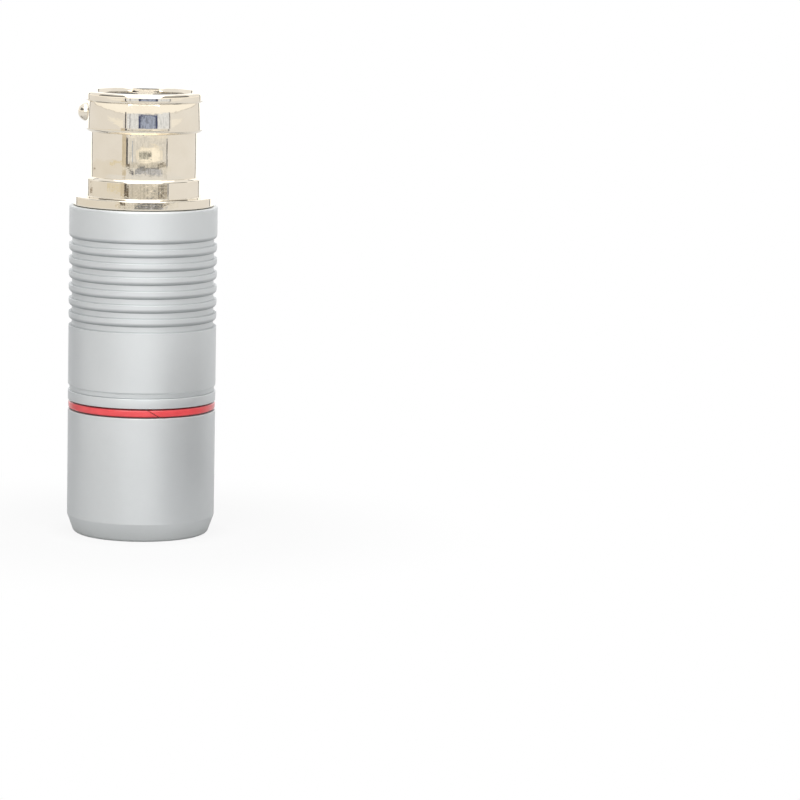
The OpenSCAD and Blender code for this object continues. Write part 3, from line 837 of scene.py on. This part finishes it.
def away_from_plug(tree, fade, level):
    """A value that grows from a level near the plug's axis to 1 far from it, between two distances."""
    place = tree.nodes.new("ShaderNodeTexCoord")
    away = tree.nodes.new("ShaderNodeVectorMath")
    away.operation = "LENGTH"
    feed(tree, place.outputs["Object"], away.inputs[0])
    growth = tree.nodes.new("ShaderNodeMapRange")
    growth.interpolation_type = "SMOOTHSTEP"
    growth.inputs["From Min"].default_value = fade[0]
    growth.inputs["From Max"].default_value = fade[1]
    growth.inputs["To Min"].default_value = level
    feed(tree, away.outputs["Value"], growth.inputs["Value"])
    return growth.outputs["Result"]


def glow_share(tree, ray, fade, level):
    """The share of the floor's glow for one kind of ray, from a level near the plug to 1 far away."""
    rays = tree.nodes.new("ShaderNodeLightPath")
    return reckoned(tree, "MULTIPLY", away_from_plug(tree, fade, level), rays.outputs[ray])


floor_white, tree, shader = new_finish("studio_white")
shader.inputs["Roughness"].default_value = 0.9
shader.inputs["Specular IOR Level"].default_value = 0.0
# Painted shadow: the floor's colour is greyer close round the plug's foot.
painted_floor_shadow = tinted(tree, away_from_plug(tree, FLOOR_SHADOW_REACH, 0.0), FLOOR_PAINTED_SHADOW, FLOOR_FAR)
feed(tree, painted_floor_shadow, shader.inputs["Base Color"])
glow = tree.nodes.new("ShaderNodeEmission")
feed(tree, white_in_view(tree, 0.0, MIRRORED_WHITE), glow.inputs["Strength"])
share = reckoned(tree, "MAXIMUM", glow_share(tree, "Is Camera Ray", SEEN_FADE, SEEN_NEAR),
                 glow_share(tree, "Is Glossy Ray", MIRRORED_FADE, 0.0))
sheet = tree.nodes.new("ShaderNodeMixShader")
feed(tree, share, sheet.inputs["Fac"])
feed(tree, shader.outputs["BSDF"], sheet.inputs[1])
feed(tree, glow.outputs["Emission"], sheet.inputs[2])
feed(tree, sheet.outputs["Shader"], tree.nodes["Material Output"].inputs["Surface"])
bpy.ops.object.select_all(action="DESELECT")
bpy.ops.mesh.primitive_plane_add(size=FLOOR_SIZE, location=(0, 0, FLOOR_HEIGHT))
floor = bpy.context.object
floor.name = "studio_floor"
floor.data.materials.append(floor_white)

# Studio light: a soft box above the camera and one overhead, aimed at the upper part of the plug, and a dim
# white room all round. A box is given by its rise in degrees, its distance and size in mm, and its glow.
SOFT_BOXES = [("front_box", 36, 300, 400, 320, 2.05), ("top_box", 86, 600, 500, 500, 0.6)]
BOX_AIM = 50 * MM
ROOM_LIGHT = 0.22
ROOM_MIRRORED = 0.20
for name, rise, distance, width, height, glow in SOFT_BOXES:
    bpy.ops.object.select_all(action="DESELECT")
    bpy.ops.object.light_add(type="AREA")
    lamp = bpy.context.object
    lamp.name = name
    lamp.data.shape = "RECTANGLE"
    lamp.data.size = width * MM
    lamp.data.size_y = height * MM
    lamp.data.energy = glow * math.pi * lamp.data.size * lamp.data.size_y
    lamp.matrix_world = (Matrix.Translation((0, 0, BOX_AIM))
                         @ Matrix.Rotation(math.radians(90 - rise), 4, "X")
                         @ Matrix.Translation((0, 0, distance * MM)))
    lamp.visible_camera = False
world = bpy.data.worlds.new("white_tent")
bpy.context.scene.world = world
world.use_nodes = True
tree = world.node_tree
feed(tree, white_in_view(tree, ROOM_LIGHT, ROOM_MIRRORED), tree.nodes["Background"].inputs["Strength"])
feed(tree, (1, 1, 1), tree.nodes["Background"].inputs["Color"])

# Tent walls that only metal mirrors: the sides, the front opening with its frame and a dark panel in it,
# darker things close to the plug, and the brighter sheets behind and above. Each is bent round the axis.
SIDE_TOP = 123
WALL_STEPS = 40
WALL_MOTTLE = (0.04, 0.04, 0.45)
CEILING_HEIGHT = 750 * MM
CEILING_SIZE = 1.0
CEILING_TONE = (1.5, 1.5, 1.5)
# A wall's distance in mm, tone and mottle, and its low and high edges in mm at directions in degrees.
TENT = [("side_left", 431, (0.85, 0.835, 0.82), 0.0, [(-140, 0, SIDE_TOP), (-30, 0, SIDE_TOP)]),
        ("side_right", 431, (0.88, 0.87, 0.86), 0.0, [(30, 0, SIDE_TOP), (140, 0, SIDE_TOP)]),
        ("side_left_light", 427, (0.99, 0.96, 0.89), 0.0, [(-76, 52.0, 53.0), (-41, 43.7, 54.5)]),
        ("side_right_light", 427, (1.0, 0.98, 0.94), 0.0, [(56, 43.7, 54.5), (82, 50.0, 51.0)]),
        ("upper_left", 440, (0.9, 0.9, 0.9), 0.0, [(-100, 330, 750), (-30, 330, 750)]),
        ("upper_right", 440, (0.9, 0.9, 0.9), 0.0, [(30, 330, 750), (100, 330, 750)]),
        ("flange_left", 395.5, (0.86, 0.84, 0.79), 0.1, [(-45, 7.8, 10.1), (-13, 7.8, 10.1)]),
        ("flange_right", 395.5, (0.86, 0.84, 0.79), 0.1, [(33, 7.8, 10.1), (60, 7.8, 10.1)]),
        ("upper_sheet", 450, (0.95, 0.95, 0.95), 0.0, [(100, 130, 750), (260, 130, 750)]),
        ("above_opening", 419, (1.09, 1.06, 1.00), 0.0,
         [(-135, 64.2, 120), (-93, 71.2, 120), (-67, 67.5, 130), (-42, 66.4, 160), (46, 66.4, 160),
          (70, 67.5, 130), (95, 71.2, 120), (135, 64.2, 120)]),
        ("fold_left", 418, (0.68, 0.65, 0.62), 0.0,
         [(-135, 61.9, 64.2), (-93, 68.9, 71.2), (-67, 65.7, 67.5), (-42, 64.2, 66.4)]),
        ("fold_right", 418, (0.70, 0.67, 0.64), 0.0,
         [(46, 64.2, 66.4), (70, 65.7, 67.5), (95, 68.9, 71.2), (135, 61.9, 64.2)]),
        ("opening", 408, (0.82, 0.86, 0.93), 0.30, [(-33, 42.6, 68.1), (51, 42.6, 68.1)]),
        ("frame_left", 400, (0.10, 0.10, 0.12), 0.5, [(-37, 42.6, 68.9), (-34.5, 42.6, 68.9)]),
        ("frame_inner", 400, (0.30, 0.30, 0.36), 0.5, [(-27.5, 42.6, 68.1), (-26, 42.6, 68.1)]),
        ("frame_right", 400, (0.24, 0.24, 0.26), 0.5, [(51, 42.6, 68.1), (52.8, 42.6, 68.1)]),
        ("frame_top", 398, (0.30, 0.32, 0.38), 0.4, [(-1, 66.7, 68.1), (29, 66.7, 68.1)]),
        ("dark_panel", 393, (0.08, 0.10, 0.20), 0.4, [(-10, 44.2, 65.3), (27, 44.2, 65.3)]),
        ("panel_front", 392, (0.36, 0.42, 0.58), 0.6, [(-6, 45.4, 62.3), (23, 45.4, 62.3)]),
        ("waist_ground", 404, (0.80, 0.79, 0.77), 0.25, [(-31, 0, 39.2), (51, 0, 39.2)]),
        ("waist_top", 403, (0.92, 0.89, 0.82), 0.1, [(-31, 39.2, 42.6), (51, 39.2, 42.6)]),
        ("waist_warm_left", 401.5, (0.68, 0.61, 0.49), 0.2, [(-45, 0, 42.0), (-36.5, 0, 42.0)]),
        ("waist_frame_left", 400, (0.14, 0.14, 0.15), 0.5, [(-36.5, 9.6, 38.5), (-32.5, 9.6, 38.5)]),
        ("waist_slant_left", 399, (0.20, 0.20, 0.22), 0.4, [(-33.5, 8.1, 12.7), (-20, 0, 5.3)]),
        ("waist_inner_left", 400, (0.50, 0.55, 0.64), 0.2, [(-23.5, 0, 35.3), (-21.5, 0, 35.3)]),
        ("waist_frame_right", 400, (0.38, 0.38, 0.40), 0.6, [(48.5, 9.6, 38.5), (51.5, 9.6, 38.5)]),
        ("waist_foot", 397, (0.52, 0.54, 0.60), 0.6, [(-17, 3.0, 9.4), (41, 3.0, 9.4)]),
        ("foot_panel", 396, (0.16, 0.17, 0.18), 0.7, [(-13, 8.0, 10.15), (33, 8.0, 10.15)]),
        ("low_ground", 399.5, (0.66, 0.63, 0.57), 0.35, [(-28, 10.2, 14.3), (48, 10.2, 14.3)]),
        ("low_marks", 397.5, (0.36, 0.33, 0.28), 0.9, [(30, 10.4, 13.7), (48, 10.4, 13.7)]),
        ("low_frame_left", 391, (0.15, 0.12, 0.085), 0.4, [(-37, 10.2, 14.6), (-28, 10.2, 14.6)]),
        ("spot_rim", 395, (0.92, 0.88, 0.79), 0.1,
         [(-15, 18.2, 27.6), (-1, 14.3, 33.0), (23, 14.3, 33.0), (41, 18.2, 27.6)]),
        ("bright_spot", 394, (1.13, 1.08, 0.97), 0.1,
         [(-10, 19.0, 26.8), (3, 15.5, 31.5), (21, 15.5, 31.5), (34, 19.0, 26.8)]),
        ("spot_marks", 393, (0.46, 0.46, 0.42), 0.9, [(-9, 19.4, 26.8), (17, 19.4, 26.8)]),
        ("warm_left", 423, (0.82, 0.79, 0.74), 0.0, [(-140, 0, 14.3), (-36, 0, 14.3)]),
        ("warm_left_deep", 421, (0.80, 0.73, 0.56), 0.15, [(-75, 10.2, 14.1), (-36, 10.2, 14.1)]),
        ("low_right", 45, (0.16, 0.16, 0.17), 0.0, [(26, 0, 20), (100, 0, 20)]),
        ("near_left", 45, (0.40, 0.40, 0.41), 0.0, [(-128, 0, 34), (-98, 0, 34)]),
        ("low_mark_left", 390.5, (0.34, 0.28, 0.22), 0.5, [(-131, 11.9, 12.9), (-120, 11.9, 12.9)]),
        ("back_sheet", 431, (1.35, 1.35, 1.35), 0.0, [(140, -100, 460), (220, -100, 460)]),
        ("back_seam_left", 415, (0.10, 0.10, 0.11), 0.0, [(-140.5, 0, 385), (-137.5, 0, 385)]),
        ("back_seam_right", 415, (0.10, 0.10, 0.11), 0.0, [(137.5, 0, 385), (140.5, 0, 385)])]


def between(stations, turn, column):
    """The edge of a wall at a direction, between the two stations around it."""
    for here, there in zip(stations, stations[1:]):
        if turn <= there[0]:
            share = (turn - here[0]) / (there[0] - here[0])
            return here[column] + share * (there[column] - here[column])
    return stations[-1][column]


def mirrored_only(wall, name, tone, mottle):
    """Gives a wall its glow, and hides it from all but mirroring surfaces."""
    finish = bpy.data.materials.new(name)
    finish.use_nodes = True
    tree = finish.node_tree
    light = tree.nodes.new("ShaderNodeEmission")
    feed(tree, tone, light.inputs["Color"])
    spots = noise(tree, in_mm(tree), 1.0, 3.0, 0.6, WALL_MOTTLE)
    feed(tree, spread(tree, spots, 1 - mottle, 1 + mottle), light.inputs["Strength"])
    feed(tree, light.outputs["Emission"], tree.nodes["Material Output"].inputs["Surface"])
    wall.name = name
    wall.data.materials.append(finish)
    wall.visible_camera = False
    wall.visible_diffuse = False
    wall.visible_shadow = False


for name, distance, tone, mottle, stations in TENT:
    bpy.ops.object.select_all(action="DESELECT")
    bpy.ops.mesh.primitive_grid_add(x_subdivisions=WALL_STEPS, y_subdivisions=1, size=2.0)
    wall = bpy.context.object
    for point in wall.data.vertices:
        turn = stations[0][0] + (stations[-1][0] - stations[0][0]) * (point.co.x + 1) / 2
        low = between(stations, turn, 1)
        high = between(stations, turn, 2)
        height = low + (high - low) * (point.co.y + 1) / 2
        angle = math.radians(turn)
        point.co = (distance * MM * math.sin(angle), -distance * MM * math.cos(angle), height * MM)
    mirrored_only(wall, "tent_" + name, tone, mottle)
bpy.ops.object.select_all(action="DESELECT")
bpy.ops.mesh.primitive_plane_add(size=CEILING_SIZE, location=(0, 0, CEILING_HEIGHT))
mirrored_only(bpy.context.object, "tent_ceiling", CEILING_TONE, 0.0)
